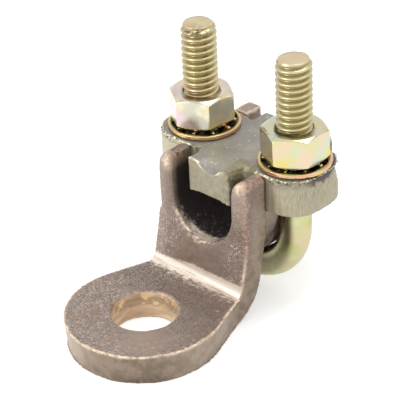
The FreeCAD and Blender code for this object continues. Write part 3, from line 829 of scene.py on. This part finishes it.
def helix_phase(heights, angles, start):
    """The share of the pitch at which a place on a right-hand thread is."""
    return ((heights - start) / PITCH - angles / math.tau) % 1


def helix_rows(low, high, angles, start):
    """Heights of rows that climb a right-hand helix, held between two levels, and their phases."""
    first = math.floor((low - start) / PITCH) - 1
    last = math.ceil((high - start) / PITCH) + 1
    turns = np.arange(first * ROWS_PER_TURN, last * ROWS_PER_TURN + 1) / ROWS_PER_TURN
    heights = np.clip(start + (turns[:, None] + angles[None, :] / math.tau) * PITCH, low, high)
    return heights, helix_phase(heights, angles, start)


def helix_faces(rows, columns):
    """Quads between the rows. A row's end joins the row that is one turn higher."""
    faces = []
    for row in range(rows - 1):
        for column in range(columns - 1):
            corner = row * columns + column
            faces.append((corner, corner + 1, corner + columns + 1, corner + columns))
        if row + 1 + ROWS_PER_TURN < rows:
            corner = row * columns + columns - 1
            turn = (row + ROWS_PER_TURN) * columns
            faces.append((corner, turn, turn + columns, corner + columns))
    return faces


def ring_faces(rows, columns):
    """Quads between closed rings of points."""
    return [(row * columns + column, row * columns + (column + 1) % columns,
             (row + 1) * columns + (column + 1) % columns, (row + 1) * columns + column)
            for row in range(rows - 1) for column in range(columns)]


def joined(parts):
    """Several (points, faces) as one."""
    points, faces, start = [], [], 0
    for some_points, some_faces in parts:
        points.append(some_points)
        faces += [tuple(start + corner for corner in face) for face in some_faces]
        start += len(some_points)
    return np.concatenate(points), faces


# U-bolt
BOLT_ANGLES = np.arange(BOLT_COLUMNS) * math.tau / BOLT_COLUMNS
BOLT_POINT = BOLT_HIGH.z - POINT_ROUND
ROD_SHADES = [tint(198, 198, 144), tint(192, 186, 124), tint(206, 210, 166), tint(206, 196, 156)]
ROD_CROWN = tint(216, 200, 164)


def around_leg(side, radii, heights):
    """Points around a leg's axis at the bolt's angles."""
    return np.stack([side * LEG_X + radii * np.cos(BOLT_ANGLES), LEG_Y + radii * np.sin(BOLT_ANGLES),
                     heights], axis=-1).reshape(-1, 3)


def threaded_end(side):
    """One leg's thread, from its run-out in the shank to the steep chamfer at its point."""
    foot = BOLT_HIGH.z - THREAD_RUN
    heights, phases = helix_rows(foot, BOLT_POINT, BOLT_ANGLES, THREAD_STARTS[side])
    cut = step(heights, foot, foot + 1.5 * PITCH)
    radii = SHANK_RADIUS + (thread_radius(phases) - SHANK_RADIUS) * cut
    radii = np.minimum(radii, POINT_RADIUS + (BOLT_POINT - heights) * POINT_CHAMFER)
    return around_leg(side, radii, heights), helix_faces(len(heights), BOLT_COLUMNS)


def end_cap(side):
    """The flat end of a leg, inside the outline that its thread leaves."""
    outline = thread_radius(helix_phase(BOLT_POINT, BOLT_ANGLES, THREAD_STARTS[side]))
    outline = np.minimum(outline, POINT_RADIUS)
    rings = [(1.0, BOLT_POINT), (0.98, BOLT_HIGH.z), (0.6, BOLT_HIGH.z), (0.2, BOLT_HIGH.z)]
    points = [around_leg(side, share * outline, np.full(BOLT_COLUMNS, level)) for share, level in rings]
    faces = ring_faces(len(rings), BOLT_COLUMNS)
    faces.append(tuple(range((len(rings) - 1) * BOLT_COLUMNS, len(rings) * BOLT_COLUMNS)))
    return np.concatenate(points), faces


def shank_and_bend():
    """The plain rod between the two threads."""
    foot = BOLT_HIGH.z - THREAD_RUN
    flat = np.ones(BOLT_COLUMNS)
    leg_levels = np.linspace(foot, BEND_HEIGHT, SHANK_RINGS, endpoint=False)
    rings = [around_leg(-1, SHANK_RADIUS * flat, level * flat) for level in leg_levels]
    for turn in np.linspace(math.pi, math.tau, BEND_RINGS):
        out = np.array([math.cos(turn), 0, math.sin(turn)])
        centre = np.array([0, LEG_Y, BEND_HEIGHT]) + LEG_X * out
        rings.append([centre + SHANK_RADIUS * (-math.cos(a) * out + math.sin(a) * np.array([0, 1, 0]))
                      for a in BOLT_ANGLES])
    for level in leg_levels[::-1]:
        rings.append([(LEG_X - SHANK_RADIUS * math.cos(a), LEG_Y + SHANK_RADIUS * math.sin(a), level)
                      for a in BOLT_ANGLES])
    points = np.array(rings, dtype=float).reshape(-1, 3)
    return points, ring_faces(len(rings), BOLT_COLUMNS)


def bolt_masks(points, normals):
    """What the rod's paint reads. The left leg's point is torn on the side that faces the camera."""
    x, y, z = points.T
    torn = field(points, 0.8 * MM, 21)
    foot = BOLT_HIGH.z - THREAD_RUN
    radius = np.hypot(np.abs(x) - LEG_X, y - LEG_Y)
    threaded = (z > foot) * (z < BOLT_HIGH.z - 0.3 * MM)
    facing = np.arctan2(y - LEG_Y, x + LEG_X)
    chipped = (x < 0) * hump(z, BOLT_HIGH.z - 0.9 * MM, 0.8 * MM) * hump(facing, math.radians(-65), 1)
    # Painted shade: the rod's side towards the casting's front plate is darkened, where the casting shades
    # it and is mirrored in it
    towards_plate = -(normals[:, 0] * np.sign(x) + normals[:, 1]) / math.sqrt(2)
    shaded = step(towards_plate, 0.05, 0.55) * below(z, BEND_HEIGHT + 4 * MM, BEND_HEIGHT + 8 * MM)
    flat_ends = step(z, BOLT_HIGH.z - 0.1 * MM, BOLT_HIGH.z)
    above_nut = (x < 0) * hump(z, NUT_HIGH.z + 1.2 * MM, 2 * MM)
    relief = CHIP_DEPTH * chipped * (torn - 0.3)
    return relief, {
        "valley_shade": threaded * (THREAD_RADIUS - radius) / THREAD_DEPTH * (1 - chipped),
        "grime_and_shade": 0.85 * chipped * step(torn, -0.1, 0.15) + 0.5 * shaded,
        "copper": 0.35 * flat_ends + 0.3 * above_nut,
        "crown_and_top_shade": step(z, foot, foot + 4 * MM),
    }


def make_u_bolt():
    points, faces = joined([threaded_end(-1), threaded_end(1), end_cap(-1), end_cap(1), shank_and_bend()])
    u_bolt = add_object("threaded_u_bolt", mesh_from("threaded_u_bolt", points, faces))
    points, normals = read_points(u_bolt.data)
    relief, masks = bolt_masks(points, normals)
    write_points(u_bolt.data, points + normals * relief[:, None])
    write_masks(u_bolt.data, masks)
    paint = zinc_paint("yellow_zinc_rod", ROD_SHADES, ROD_CROWN, patch_size=7 * MM, roughness=0.3)
    dress(u_bolt, "u_bolt", paint)


# Nuts
NUT_SHADES = {
    "left": [tint(230, 224, 190), tint(236, 214, 158), tint(226, 204, 206), tint(208, 204, 188)],
    "right": [tint(212, 208, 156), tint(222, 206, 140), tint(200, 210, 198), tint(222, 202, 172)],
}
# Tints of the nuts' tops, darker than their sides: painted shade
NUT_TOP_SHADE_TINTS = {"left": tint(208, 188, 184), "right": tint(194, 200, 182)}


def hexagon_radius(angles, turn):
    """Distance from the nut's axis to its slightly rounded side, along each angle."""
    power = 110
    total = np.zeros_like(angles)
    for side in range(6):
        facing = np.cos(angles - turn - math.radians(30 + 60 * side))
        total += np.clip(facing, 0, None) ** power
    return NUT_FLATS / 2 / total ** (1 / power)


def towards(start, stop):
    """Unit vectors from each start to each stop."""
    return (stop - start) / np.linalg.norm(stop - start, axis=1, keepdims=True)


def eased(before, corner, after, size):
    """Three rows instead of one at a corner of the section, to soften it."""
    one = corner + towards(corner, before) * size
    two = corner + towards(corner, after) * size
    return [one, (one + two) / 4 + corner / 2, two]


def nut_shell(angles, turn):
    """The outside of a nut as closed rings of (radius, height), from the lower entry to the upper."""
    side = hexagon_radius(angles, turn)
    height = NUT_HIGH.z - NUT_LOW.z
    bevel = (side - NUT_FACE) * math.tan(NUT_BEVEL)
    corners = [(NUT_ENTRY, 0), (NUT_FACE, 0), (side, bevel),
               (side, height - bevel), (NUT_FACE, height), (NUT_ENTRY, height)]
    section = [np.stack(np.broadcast_arrays(radius, level, side)[:2], axis=1) for radius, level in corners]
    soft = [eased(*trio, NUT_EDGE) for trio in zip(section, section[1:], section[2:])]
    # Rows on the side faces that end the specks of the bevels
    ends = [np.stack([side, level], axis=1) for level in (bevel + NUT_SPECKS, height - bevel - NUT_SPECKS)]
    rows = [section[0], *soft[0], *soft[1], *ends, *soft[2], *soft[3], section[-1]]
    points = [np.stack([radius * np.cos(angles), radius * np.sin(angles), NUT_LOW.z + level], axis=1)
              for radius, level in (row.T for row in rows)]
    return np.concatenate(points), ring_faces(len(rows), len(angles))


def nut_bore(angles, start):
    """The threaded hole of a nut and its two countersunk entries."""
    low = NUT_LOW.z + NUT_ENTRY_DEPTH
    high = NUT_HIGH.z - NUT_ENTRY_DEPTH
    clearance = 0.06 * MM
    heights, phases = helix_rows(low, high, angles, start)
    taper = step(heights, low, low + 0.3 * PITCH) * below(heights, high - 0.3 * PITCH, high)
    radii = np.maximum(thread_radius(phases), THREAD_RADIUS - THREAD_DEPTH * taper) + clearance
    bore = np.stack([radii * np.cos(angles), radii * np.sin(angles), heights], axis=-1)
    parts = [(bore.reshape(-1, 3), helix_faces(len(heights), len(angles)))]
    for outer, inner in ((NUT_LOW.z, low), (NUT_HIGH.z, high)):
        rings = [[(radius * math.cos(a), radius * math.sin(a), level) for a in angles]
                 for radius, level in ((NUT_ENTRY, outer), (THREAD_RADIUS + clearance, inner))]
        parts.append((np.array(rings).reshape(-1, 3), ring_faces(2, len(angles))))
    return parts


def nut_angles(turn):
    """Angles around a nut, closer together towards its six corners."""
    share = np.sin(np.linspace(-1, 1, NUT_COLUMNS, endpoint=False) * math.pi / 2)
    angles = np.concatenate([turn + math.radians(30) * (1 + 2 * face + share) for face in range(6)])
    return np.sort(angles % math.tau)


def nut_masks(points, normals, side):
    """What a nut's paint reads: painted shade in its hole and entry, dark specks along the bevels, and a
    darker, greyer tint on top as painted shade.
    """
    radius = np.hypot(points[:, 0] - side * LEG_X, points[:, 1] - LEG_Y)
    specks = step(field(points, 0.5 * MM, 31), 0.45, 0.6)
    specks = specks * step(radius, NUT_FACE - 0.1 * MM, NUT_FACE + 0.2 * MM)
    # Painted shade in the threaded hole
    hole = below(radius, THREAD_RADIUS - 0.3 * MM, THREAD_RADIUS)
    return {
        "valley_shade": below(radius, NUT_ENTRY - 0.2 * MM, NUT_ENTRY - 0.05 * MM),
        "grime_and_shade": 0.6 * specks * step(np.abs(normals[:, 2]), 0.15, 0.3) + hole,
        "crown_and_top_shade": step(normals[:, 2], 0.7, 0.95),
    }


def make_nut(name, side):
    angles = nut_angles(NUT_TURNS[name])
    points, faces = joined([nut_shell(angles, NUT_TURNS[name])] + nut_bore(angles, THREAD_STARTS[side]))
    points = points + (side * LEG_X, LEG_Y, 0)
    nut = add_object(f"threaded_nut_{name}", mesh_from(f"threaded_nut_{name}", points, faces))
    write_masks(nut.data, nut_masks(*read_points(nut.data), side))
    paint = zinc_paint(f"yellow_zinc_nut_{name}", NUT_SHADES[name], NUT_TOP_SHADE_TINTS[name],
                       patch_size=4.5 * MM, roughness=0.2, shift=side * 5.3)
    dress(nut, f"hex_nut_{name}", paint)


# Lock washers
WASHER_SHADES = [tint(214, 200, 126), tint(222, 186, 140), tint(210, 210, 130)]


def make_washer(name, side):
    node = f"lock_washer_{name}"
    washer = rounded_copy(node, f"toothed_washer_{name}", WASHER_VOXEL)
    low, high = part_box(node)
    points, _ = read_points(washer.data)
    radius = np.hypot(points[:, 0] - (low.x + high.x) / 2, points[:, 1] - (low.y + high.y) / 2)
    rim = WASHER_RIMS[name]
    inside = below(radius, rim - 0.4 * MM, rim)
    tips = inside * step(points[:, 2], high.z - 0.26 * MM, high.z - 0.12 * MM)
    # Painted shade darkens the teeth inside the rim, all but their tips
    write_masks(washer.data, {
        "valley_shade": 0.6 * (inside - tips),
        "grime_and_shade": inside - tips,
        "copper": step(radius, 7.7 * MM, 7.95 * MM) + 0.9 * tips,
    })
    paint = zinc_paint(f"yellow_zinc_washer_{name}", WASHER_SHADES, WASHER_SHADES[0],
                       patch_size=5 * MM, roughness=0.25, shift=side * 2.1)
    dress(washer, node, paint)


# Stage
def seen_factor(tree):
    """1 for what the camera, metal and glass see, and 0 for the light that falls on surfaces."""
    nodes, links = tree.nodes, tree.links
    rays = nodes.new("ShaderNodeLightPath")
    factor = rays.outputs["Is Camera Ray"]
    for kind in ("Is Glossy Ray", "Is Transmission Ray"):
        either = nodes.new("ShaderNodeMath")
        either.operation = "MAXIMUM"
        links.new(factor, either.inputs[0])
        links.new(rays.outputs[kind], either.inputs[1])
        factor = either.outputs[0]
    return factor


def floor_paint():
    """Matt white that also glows, but only for what sees it, so that it lights nothing."""
    material = bpy.data.materials.new("floor")
    material.use_nodes = True
    tree = material.node_tree
    shader = tree.nodes["Principled BSDF"]
    shader.inputs["Base Color"].default_value = (0.8, 0.8, 0.8, 1)
    shader.inputs["Roughness"].default_value = 0.9
    shader.inputs["Specular IOR Level"].default_value = 0.0
    glow = tree.nodes.new("ShaderNodeEmission")
    both = tree.nodes.new("ShaderNodeAddShader")
    level = tree.nodes.new("ShaderNodeMath")
    level.operation = "MULTIPLY"
    level.inputs[1].default_value = FLOOR_GLOW
    tree.links.new(seen_factor(tree), level.inputs[0])
    tree.links.new(level.outputs[0], glow.inputs["Strength"])
    tree.links.new(shader.outputs[0], both.inputs[0])
    tree.links.new(glow.outputs[0], both.inputs[1])
    tree.links.new(both.outputs[0], tree.nodes["Material Output"].inputs["Surface"])
    return material


def add_floor():
    """A white floor that fades into the background and keeps the object's shadow."""
    mesh = bpy.data.meshes.new("floor")
    corners = [(-1, -1), (1, -1), (1, 1), (-1, 1)]
    mesh.from_pydata([(x * FLOOR_HALF, y * FLOOR_HALF, -FLOOR_GAP) for x, y in corners], [], [(0, 1, 2, 3)])
    mesh.materials.append(floor_paint())
    add_object("floor", mesh)


def add_world():
    """Soft light from all sides, white where it is seen."""
    world = bpy.data.worlds.new("studio")
    world.use_nodes = True
    bpy.context.scene.world = world
    tree = world.node_tree
    back = tree.nodes["Background"]
    back.inputs["Color"].default_value = (1, 1, 1, 1)
    level = tree.nodes.new("ShaderNodeMapRange")
    level.inputs["To Min"].default_value = SOFT_LIGHT
    level.inputs["To Max"].default_value = 1.0
    tree.links.new(seen_factor(tree), level.inputs["Value"])
    tree.links.new(level.outputs[0], back.inputs["Strength"])


def add_lamp(name, place, size, power):
    """A square soft box that faces the object."""
    light = bpy.data.lights.new(name, "AREA")
    light.size = size
    light.energy = power
    lamp = bpy.data.objects.new(name, light)
    bpy.context.scene.collection.objects.link(lamp)
    lamp.location = place
    lamp.rotation_euler = (LAMP_TARGET - Vector(place)).to_track_quat("-Z", "Y").to_euler()


def add_lamps():
    add_lamp("key", (-0.25, -0.65, 0.55), size=0.35, power=2.6)
    add_lamp("top", (0.1, 0.2, 0.8), size=0.5, power=1.6)


make_lug()
make_saddle()
make_u_bolt()
for leg_name, leg_side in (("left", -1), ("right", 1)):
    make_nut(leg_name, leg_side)
    make_washer(leg_name, leg_side)
add_camera()
add_floor()
add_world()
add_lamps()
bpy.context.scene.view_settings.view_transform = "Standard"
